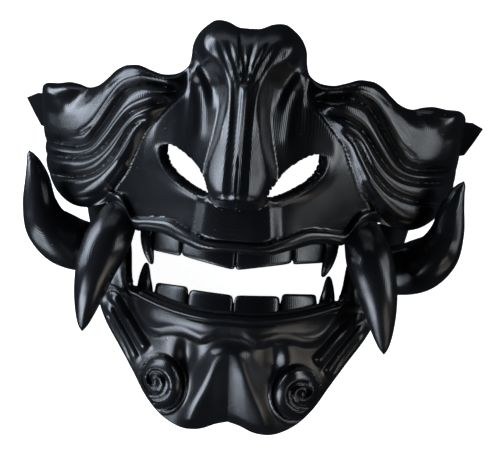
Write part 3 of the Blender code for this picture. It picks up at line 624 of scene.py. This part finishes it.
# jaw: lower lip, folds, curled bosses, chin; units and pairs as in the face
jaw = {
    "columns": 250,
    "rows": 150,
    "backShare": 0.3,  # share of the rows that run from the lower outline to the back rim
    "frontMiddle": 3 / 7,  # share of the front rows above its middle
    "reliefFoot": (0.60, 0.71),  # share of the rows where the relief dies out
    "reliefEnd": (0.84, 0.92),  # share of the run
    "lipRise": 0.0007,  # thin bead along the lip's edge
    "lipAt": 0.0009,  # metres below that edge
    "lipWidth": 0.0008,
    "gumWide": 0.0020,  # dark strip between the lower teeth and the lip's edge
    "gumDrop": 0.0014,
    "gumEdge": (-0.0010, 0.0004),
    "gumEnd": (0.44, 0.50),
    "foldRise": 0.0030,
    "foldSharp": 1.4,
    "foldFrom": (1.10, 1.60),  # boss radii
    "ledgeRise": 0.0050,
    "ledgeEdge": (-0.0020, 0.0034),  # metres above the ledge's line
    "ledgeTop": (-0.0006, 0.0006),
    "ledgeEnd": (0.40, 0.46),
    "bowlDip": 0.50,  # how much of the ledge's height the bowl loses in its middle
    "bowlPower": 0.75,  # lower moves that middle down
    "beardRise": 0.0036,
    "beardFrom": (0.465, 0.535),  # share down
    "beardSide": (-0.0046, 0.0032),
    "beardBead": (-0.0052, 0.0040),
    "beadShare": 0.50,  # of the beard's height
    "beadAt": 0.0036,  # metres inside the leg's line
    "beadWidth": 0.0054,
    "dentShare": 0.16,  # dent between the beard's legs, share of its height
    "dentWide": 0.050,
    "dentFrom": (0.60, 0.80),
    "bossRise": 0.0064,
    "bossRadius": 0.0098,
    "bossTall": 1.22,  # height of the boss over its width
    "bossPower": 0.42,  # lower makes it flatter on top
    "bossCentre": (0.292, -0.686),
    "curlCentre": (0.316, -0.676),
    "curlPitch": 0.0062,  # from one turn of the curl to the next
    "curlStart": 2.2,  # radians
    "curlDrop": 0.0030,
    "curlSide": (-0.30, 0.70),  # cosine of the turn
    "curlFrom": (0.0008, 0.0016),  # metres from the middle of the curl
    "curlEnd": (0.0074, 0.0092),
    "curlEye": 0.0014,
    "curlTop": (0.25, 0.6),  # share of the boss's height
    # rise and drop round the boss: metres | boss radii | width in radii | share across from its middle
    "brim": (0.0016, 1.14, 0.055, (-0.05, 0.03)),
    "brimEnd": (-0.60, -0.55),
    "moat": (0.0008, 1.03, 0.07, (-0.08, 0.0)),
    "hollowDrop": 0.0040,  # hollow between boss and beard
    "hollow": (0.182, -0.550, 0.045, 0.085),
    "hollowEdge": (0, 0.0015),
    # lower border of the smooth bowl under the lip: across | up
    "ledge": (
        (0.00, -0.446), (0.05, -0.450), (0.085, -0.468), (0.120, -0.482), (0.160, -0.470), (0.215, -0.456),
        (0.270, -0.462), (0.310, -0.472), (0.350, -0.468), (0.385, -0.445), (0.425, -0.385),
        (0.455, -0.340), (0.52, -0.312), (0.60, -0.305)),
    # line of the beard's legs: up | across, rounded where both meet and moved outwards
    "legRound": 0.035,
    "legWider": 0.0010,
    "leg": ((-0.90, 0.200), (-0.80, 0.175), (-0.70, 0.135), (-0.60, 0.095), (-0.52, 0.060), (-0.47, 0.020),
            (-0.40, 0.0)),
    # share | lip | middle of the front | lower outline | back rim, each across, up, out
    "edge": (
        (0.00, 0.000, -0.356, 0.76, 0.000, -0.600, 0.66, 0.000, -0.837, 0.49, 0.000, -0.800, 0.12),
        (0.10, 0.060, -0.358, 0.758, 0.055, -0.610, 0.66, 0.055, -0.852, 0.49, 0.060, -0.800, 0.12),
        (0.20, 0.130, -0.353, 0.75, 0.110, -0.620, 0.65, 0.110, -0.876, 0.48, 0.120, -0.798, 0.12),
        (0.30, 0.200, -0.343, 0.73, 0.172, -0.620, 0.64, 0.168, -0.884, 0.47, 0.180, -0.790, 0.12),
        (0.40, 0.270, -0.328, 0.70, 0.240, -0.610, 0.62, 0.232, -0.868, 0.47, 0.240, -0.770, 0.12),
        (0.50, 0.340, -0.310, 0.66, 0.312, -0.580, 0.59, 0.302, -0.824, 0.47, 0.300, -0.740, 0.12),
        (0.60, 0.410, -0.287, 0.61, 0.380, -0.540, 0.56, 0.368, -0.750, 0.47, 0.360, -0.690, 0.12),
        (0.70, 0.462, -0.262, 0.57, 0.448, -0.480, 0.53, 0.429, -0.650, 0.47, 0.420, -0.610, 0.12),
        (0.76, 0.475, -0.200, 0.53, 0.505, -0.412, 0.505, 0.488, -0.555, 0.465, 0.475, -0.530, 0.12),
        (0.82, 0.492, -0.060, 0.49, 0.554, -0.332, 0.48, 0.549, -0.448, 0.455, 0.535, -0.430, 0.12),
        (0.88, 0.535, 0.035, 0.47, 0.597, -0.242, 0.44, 0.591, -0.365, 0.42, 0.580, -0.360, 0.12),
        (0.94, 0.650, 0.062, 0.36, 0.636, -0.150, 0.30, 0.615, -0.295, 0.26, 0.605, -0.340, 0.12),
        (1.00, 0.737, 0.056, 0.12, 0.690, -0.120, 0.12, 0.630, -0.270, 0.12, 0.620, -0.320, 0.12)),
    "folds": (
        (1.00, 0.0040, ((0.565, -0.325), (0.525, -0.345), (0.485, -0.400), (0.43, -0.470), (0.38, -0.535),
                        (0.35, -0.565))),
        (0.92, 0.0038, ((0.570, -0.350), (0.530, -0.410), (0.48, -0.485), (0.435, -0.560), (0.41, -0.63))),
        (0.76, 0.0036, ((0.57, -0.385), (0.525, -0.465), (0.470, -0.555), (0.432, -0.64)))),
}


def bossRelief(far, up):
    # disc of height (1 - r^2)^power, cut by a groove whose radius grows evenly with the angle
    east, north = metres(far - jaw["curlCentre"][0], up - jaw["curlCentre"][1])
    radius, angle = np.hypot(east, north), np.arctan2(north, east)
    turn = radius / jaw["curlPitch"] * math.tau - angle - jaw["curlStart"]
    curl = ease(np.cos(turn), *jaw["curlSide"]) * ease(radius, *jaw["curlFrom"])
    curl = curl * (1 - ease(radius, *jaw["curlEnd"]))
    east, north = metres(far - jaw["bossCentre"][0], up - jaw["bossCentre"][1])
    oval = np.hypot(east / jaw["bossRadius"], north / jaw["bossRadius"] / jaw["bossTall"])
    disc = np.clip(1 - oval ** 2, 0, 1) ** jaw["bossPower"]
    cut = jaw["curlDrop"] * np.maximum(curl, bell(radius, jaw["curlEye"])) * ease(disc, *jaw["curlTop"])
    return jaw["bossRise"] * disc - cut, oval


def ring(far, oval, part):
    # bell over the distance from one oval round the boss, on the side of the chin
    height, radius, width, side = jaw[part]
    return height * bell(oval - radius, width) * ease(jaw["bossCentre"][0] - far, *side)


def jawRelief(across, up, lipLine, front):
    # highest of folds, beard, ledge and boss, plus lip and brim, minus dent, hollow and moat
    far = np.abs(across)
    gumPart = 1 - ease(far, *jaw["gumEnd"])
    gum = jaw["gumWide"] * gumPart
    band = (lipLine - up) * mask["halfHeight"] - gum
    lip = jaw["lipRise"] * bell(band - jaw["lipAt"], jaw["lipWidth"])
    lip = (lip - jaw["gumDrop"] * (1 - ease(band, *jaw["gumEdge"]))) * gumPart
    ledgeLine = follow(jaw["ledge"], far)[..., 0]
    above = (up - ledgeLine) * mask["halfHeight"]
    height = np.clip(above / np.maximum((lipLine - ledgeLine) * mask["halfHeight"] - gum, 0.001), 0, 1)
    dip = jaw["bowlDip"] * np.sin(math.pi * height ** jaw["bowlPower"])
    ledge = jaw["ledgeRise"] * ease(above, *jaw["ledgeEdge"]) * (1 - dip)
    ledge = ledge * (1 - (1 - ease(band, *jaw["ledgeTop"])) * (1 - ease(far, *jaw["ledgeEnd"])))

    inside = follow(jaw["leg"], up)[..., 0] - np.hypot(far, jaw["legRound"])
    inside = inside * mask["halfWidth"] + jaw["legWider"]
    bead = ease(inside, *jaw["beardBead"]) * bell(inside - jaw["beadAt"], jaw["beadWidth"])
    beard = (1 - jaw["beadShare"]) * ease(inside, *jaw["beardSide"]) + jaw["beadShare"] * bead
    beard = jaw["beardRise"] * beard * ease(-up, *jaw["beardFrom"])
    dent = jaw["beardRise"] * jaw["dentShare"] * bell(far, jaw["dentWide"]) * ease(-up, *jaw["dentFrom"])

    boss, oval = bossRelief(far, up)
    folds = jaw["foldRise"] * ridges(far, up, jaw["folds"], jaw["foldSharp"]) * ease(oval, *jaw["foldFrom"])
    brim = ring(far, oval, "brim") * (1 - ease(up, *jaw["brimEnd"]))
    hollow = jaw["hollowDrop"] * spot(far, up, jaw["hollow"]) * ease(-above, *jaw["hollowEdge"])
    relief = np.maximum(np.maximum(folds, beard), np.maximum(ledge, boss))
    return front * (lip + relief + brim - dent - hollow - ring(far, oval, "moat"))


def jawGrid():
    # point = parabola through lip, middle and lower outline, then straight to the back rim, plus the relief
    run, drop = grid(jaw["columns"], jaw["rows"])
    side = np.abs(run)
    edge = follow(jaw["edge"], side).reshape(*run.shape, 4, 3)
    frontShare, middle = 1 - jaw["backShare"], jaw["frontMiddle"]
    t, back = np.minimum(drop / frontShare, 1), np.clip((drop - frontShare) / jaw["backShare"], 0, 1)
    weights = ((t - middle) * (t - 1) / middle, t * (t - 1) / middle / (middle - 1),
               t * (t - middle) / (1 - middle) - back, back)
    share = sum(edge[:, :, number] * weight[..., None] for number, weight in enumerate(weights))
    across, up, out = share[..., 0] * np.sign(run), share[..., 1], share[..., 2]
    front = (1 - ease(drop, *jaw["reliefFoot"])) * (1 - ease(side, *jaw["reliefEnd"]))
    return place(across, up, out) + jawRelief(across, up, edge[:, :, 0, 1], front)[..., None] * (0, 0, 1)


def jawShell():
    # wall goes in square to the surface by the wall's thickness, and level with the flat rim near the floor
    points = jawGrid()
    quads = gridQuads(jaw["columns"], jaw["rows"])[:, ::-1]
    inward = outward(points) * mask["wall"]
    inward[..., 2] *= ease(points[..., 2], *mask["rimBlend"])
    shell, faces = thickened(points.reshape(-1, 3), quads, inward.reshape(-1, 3))
    return newPiece("jawSurface", shell, faces, jawBlack, ("jaw_shell",))


jawPiece = jawShell()
softRim(jawPiece)
print("jaw done", len(jawPiece.data.polygons))

# tusks and fangs: tubes along a line of centres
tusk = {
    "radius": 0.0110,
    "sides": 56,
    "rings": 120,
    # across, up, out, radius share
    "front": (
        (0.508, 0.050, 0.50, 0.62), (0.527, -0.015, 0.59, 0.78), (0.556, -0.100, 0.636, 0.90),
        (0.590, -0.200, 0.645, 0.80), (0.614, -0.300, 0.630, 0.64), (0.631, -0.390, 0.605, 0.43),
        (0.641, -0.455, 0.585, 0.22), (0.645, -0.488, 0.572, 0.03)),
    "outer": (
        (0.610, -0.140, 0.34, 0.86), (0.690, -0.132, 0.38, 1.00), (0.770, -0.108, 0.43, 1.04),
        (0.840, -0.048, 0.49, 0.90), (0.876, 0.040, 0.52, 0.68), (0.887, 0.140, 0.555, 0.50),
        (0.902, 0.205, 0.575, 0.32), (0.920, 0.247, 0.583, 0.15), (0.926, 0.263, 0.585, 0.03)),
}


def tubeFaces(rings, sides):
    # quads between the rings, and fans of triangles to the last two points, one for each end
    here, after = np.arange(sides), (np.arange(sides) + 1) % sides
    last, foot = rings * sides, (rings + 1) * sides
    faces = gridQuads(rings, sides, closed=True).tolist()
    faces += np.stack((after, here, np.full(sides, foot)), axis=1).tolist()
    return faces + np.stack((last + here, last + after, np.full(sides, foot + 1)), axis=1).tolist()


def tubePoints(line, sides, rings, radius):
    # ring = circle of the line's radius square to its direction, plus one point at the foot and one at the tip
    line = np.asarray(line, float)
    keys = np.column_stack((np.linspace(0, 1, len(line)), line))
    path = follow(keys, np.linspace(0, 1, rings + 1))
    centre = place(path[:, 0], path[:, 1], path[:, 2])
    ahead = np.gradient(centre, axis=0)
    ahead /= np.linalg.norm(ahead, axis=1, keepdims=True)
    east = np.cross(ahead, (0, 0, 1.0))
    east /= np.linalg.norm(east, axis=1, keepdims=True)
    north = np.cross(east, ahead)
    angle = np.linspace(0, math.tau, sides, endpoint=False)
    size = (path[:, 3] * radius)[:, None, None]
    spokes = east[:, None] * np.cos(angle)[:, None] + north[:, None] * np.sin(angle)[:, None]
    circles = centre[:, None] + size * spokes
    return np.concatenate((circles.reshape(-1, 3), centre[:1], centre[-1:] + ahead[-1:] * size[-1, 0, 0]))


def hornPairs(horns, kinds, noun, material):
    # one tube for each kind and side; the left ones are mirror images, with their faces turned over
    for side, hand in ((1, "right"), (-1, "left")):
        for kind in kinds:
            points = tubePoints(horns[kind], horns["sides"], horns["rings"], horns["radius"]) * (side, 1, 1)
            faces = [corners[::-side] for corners in tubeFaces(horns["rings"], horns["sides"])]
            newPiece(kind + noun.capitalize() + hand.capitalize(), points, faces, material,
                     (kind + "_" + noun + "_" + hand,))


hornPairs(tusk, ("front", "outer"), "tusk", tuskBlack)
print("tusks done")

fangs = {
    "radius": 0.0028,
    "sides": 28,
    "rings": 40,
    "upper": ((0.392, -0.030, 0.596, 1.14), (0.388, -0.080, 0.606, 1.06), (0.380, -0.125, 0.608, 0.84),
              (0.370, -0.158, 0.604, 0.56), (0.364, -0.177, 0.600, 0.30), (0.363, -0.182, 0.600, 0.04)),
    "lower": ((0.384, -0.340, 0.556, 1.25), (0.389, -0.285, 0.570, 1.20), (0.391, -0.240, 0.577, 0.92),
              (0.390, -0.203, 0.577, 0.62), (0.389, -0.182, 0.576, 0.34), (0.389, -0.176, 0.576, 0.04)),
}
hornPairs(fangs, ("upper", "lower"), "fang", toothBlack)
print("fangs done")

# teeth: one row for each jaw
teeth = {
    "thick": 0.0052,
    "slot": 0.0026,  # half width of a slot, share of halfWidth
    "bulge": 0.011,  # how far a tooth stands out, share of depth
    "cornerBack": 1.4,  # times bulge: how far its corners step back
    "middleOut": 0.45,  # times bulge: how far its middle comes forward
    "corner": (12, 2.6),  # powers of the superellipse that rounds the biting edge
    "box": (0.45, 0.32),  # powers of the section's corners, out and up; lower is squarer
    "sides": 36,
    "columns": 480,
    "upperArch": ((0.00, 0.775), (0.12, 0.765), (0.24, 0.705), (0.31, 0.655), (0.42, 0.575)),
    "lowerArch": ((0.00, 0.715), (0.12, 0.705), (0.20, 0.68), (0.34, 0.60), (0.42, 0.545)),
    # each tooth: inner and outer side | root up | biting edge up at both sides | depth of the slot
    "upper": ((0.000, 0.232, -0.050, -0.177, -0.134, 0.014), (0.232, 0.368, -0.030, -0.137, -0.122, 0.014)),
    "lower": ((0.000, 0.194, -0.395, -0.282, -0.272, 0.032), (0.194, 0.347, -0.385, -0.262, -0.257, 0.032)),
}


def squared(value, power):
    # cosine or sine pulled towards 1 and -1: |value|^power with the value's sign
    return np.sign(value) * np.abs(value) ** power


def toothRow(name, blocks, arch, node):
    # section = rounded box; its biting edge is a superellipse over each tooth and steps back in the slots
    sides, reach = teeth["sides"], blocks[-1][1]
    run = np.linspace(-reach, reach, teeth["columns"] + 1)
    far = np.abs(run)
    root, bite, proud = (np.zeros(run.shape) for _ in range(3))
    for inner, outer, rootUp, biteIn, biteOut, slot in blocks:
        here = (far >= inner) & (far <= outer)
        share = np.clip((far - inner - teeth["slot"]) / (outer - inner - 2 * teeth["slot"]), -0.2, 1.2)
        centred = np.clip(np.abs(2 * share - 1), 0, 1)
        full = (1 - centred ** teeth["corner"][0]) ** (1 / teeth["corner"][1])
        edge = biteIn + (biteOut - biteIn) * np.clip(share, 0, 1)
        step = teeth["cornerBack"] * (full - 1) + teeth["middleOut"] * (1 - centred ** 2)
        root = np.where(here, rootUp, root)
        bite = np.where(here, edge + slot * (1 - full) * np.sign(rootUp - edge), bite)
        proud = np.where(here, teeth["bulge"] * step, proud)
    front = follow(arch, far)[:, 0] + proud
    angle = np.linspace(0, math.tau, sides, endpoint=False)
    thick = teeth["thick"] / mask["depth"]
    up = (root + bite)[:, None] / 2 + (root - bite)[:, None] / 2 * squared(np.sin(angle), teeth["box"][1])
    out = front[:, None] - thick / 2 + thick / 2 * squared(np.cos(angle), teeth["box"][0])
    points = place(np.broadcast_to(run[:, None], up.shape), up, out).reshape(-1, 3)
    points = np.concatenate((points, points[:sides].mean(axis=0)[None], points[-sides:].mean(axis=0)[None]))
    return newPiece(name, points, tubeFaces(teeth["columns"], sides), toothBlack, (node,))


toothRow("upperToothRow", teeth["upper"], teeth["upperArch"], "upper_teeth")
toothRow("lowerToothRow", teeth["lower"], teeth["lowerArch"], "lower_teeth")
print("teeth done")

# the strap tabs keep their solids and take the printed finish
for hand in ("left", "right"):
    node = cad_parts["strap_tab_" + hand]
    for materialSlot in node.material_slots:
        materialSlot.material = tabBlack
print("tabs done")

# floor, light and camera
studio = {
    "floorReach": 3.0,
    "wallHeight": 2.4,
    "floorShade": 0.80,
    "floorRough": 0.90,
    "floorGlow": 0.95,  # keeps the paper white under the mask
    "lightAim": (0, 0, 0.04),
    "worldShade": (0.012, 0.013, 0.016),
    # name | place | size | power | colour
    "lights": (
        ("windowLeft", (-0.92, 0.40, 0.32), (1.00, 0.50), 21.0, (0.76, 0.86, 1.0)),
        ("windowLow", (-0.64, -0.80, 0.42), (0.70, 0.50), 13.5, (0.78, 0.87, 1.0)),
        ("windowTop", (-0.10, 0.90, 0.42), (0.90, 0.26), 1.0, (0.82, 0.90, 1.0)),
        ("fillRight", (0.88, 0.10, 0.40), (0.70, 0.30), 4.6, (0.88, 0.94, 1.0)),
        ("fillBelow", (0.66, -0.70, 0.40), (0.50, 0.26), 1.4, (1.0, 0.92, 0.84)),
    ),
    "cameraDistance": 0.650,
    "aimUp": 0.0022,
    "aimOut": 0.038,
    "pixelSize": 0.00043,  # metres on the aimed plane
    "imageSize": (500, 456),
    "imageCentre": (241.5, 228.0),  # pixel where the aimed point is seen
    "sensorWidth": 36,
    "roll": 4.2,  # degrees
    "yaw": 3.0,
}


def makeFloor():
    # flat square on z = 0 with a plain wall on each side
    reach, height = studio["floorReach"], studio["wallHeight"]
    corners = [(-reach, -reach), (reach, -reach), (reach, reach), (-reach, reach)]
    mesh = bpy.data.meshes.new("floor")
    mesh.from_pydata([(x, y, z) for z in (0, height) for x, y in corners], [],
                     [(0, 1, 2, 3), (0, 4, 5, 1), (1, 5, 6, 2), (2, 6, 7, 3), (3, 7, 4, 0)])
    floor = added("floor", mesh)
    paint = bpy.data.materials.new("floor paint")
    paint.use_nodes = True
    surface = paint.node_tree.nodes["Principled BSDF"]
    surface.inputs["Base Color"].default_value = (*[studio["floorShade"]] * 3, 1)
    surface.inputs["Roughness"].default_value = studio["floorRough"]
    surface.inputs["Emission Color"].default_value = (1, 1, 1, 1)
    surface.inputs["Emission Strength"].default_value = studio["floorGlow"]
    mesh.materials.append(paint)
    floor.visible_glossy = False  # the white paper isn't mirrored in the black print
    floor.visible_diffuse = False


def makeLights():
    # soft rectangles turned towards one point, and a dim world
    target = Vector(studio["lightAim"])
    for name, where, size, power, colour in studio["lights"]:
        lamp = bpy.data.lights.new(name, "AREA")
        lamp.shape = "RECTANGLE"
        lamp.size, lamp.size_y = size
        lamp.energy = power
        lamp.color = colour
        holder = added(name, lamp)
        holder.location = where
        holder.rotation_euler = (target - Vector(where)).to_track_quat("-Z", "Y").to_euler()
    world = bpy.data.worlds.new("studio")
    world.use_nodes = True
    world.node_tree.nodes["Background"].inputs["Color"].default_value = (*studio["worldShade"], 1)
    bpy.context.scene.world = world


def makeCamera():
    # looks down on the face, turned by the photo's yaw and roll; the lens makes one pixel pixelSize wide
    yaw, roll = math.radians(studio["yaw"]), math.radians(studio["roll"])
    back = Vector((math.sin(yaw), 0, math.cos(yaw)))
    level, plumb = Vector((math.cos(yaw), 0, -math.sin(yaw))), Vector((0, 1, 0))
    right = level * math.cos(roll) + plumb * math.sin(roll)
    top = plumb * math.cos(roll) - level * math.sin(roll)
    pixel, distance = studio["pixelSize"], studio["cameraDistance"]
    slide = (studio["imageSize"][0] / 2 - studio["imageCentre"][0]) * pixel
    lift = (studio["imageCentre"][1] - studio["imageSize"][1] / 2) * pixel
    eye = Vector((0, studio["aimUp"], studio["aimOut"])) + back * distance + right * slide + top * lift
    camera = bpy.data.cameras.new("camera")
    camera.sensor_width = studio["sensorWidth"]
    camera.lens = studio["sensorWidth"] * distance / pixel / studio["imageSize"][0]
    camera.clip_start = 0.05
    holder = added("camera", camera)
    turn = Matrix((right, top, back)).transposed().to_4x4()
    holder.matrix_world = Matrix.Translation(eye) @ turn
    bpy.context.scene.camera = holder


makeFloor()
makeLights()
makeCamera()
view = bpy.context.scene.view_settings
view.view_transform = "Standard"
view.look = "None"
print("studio done")
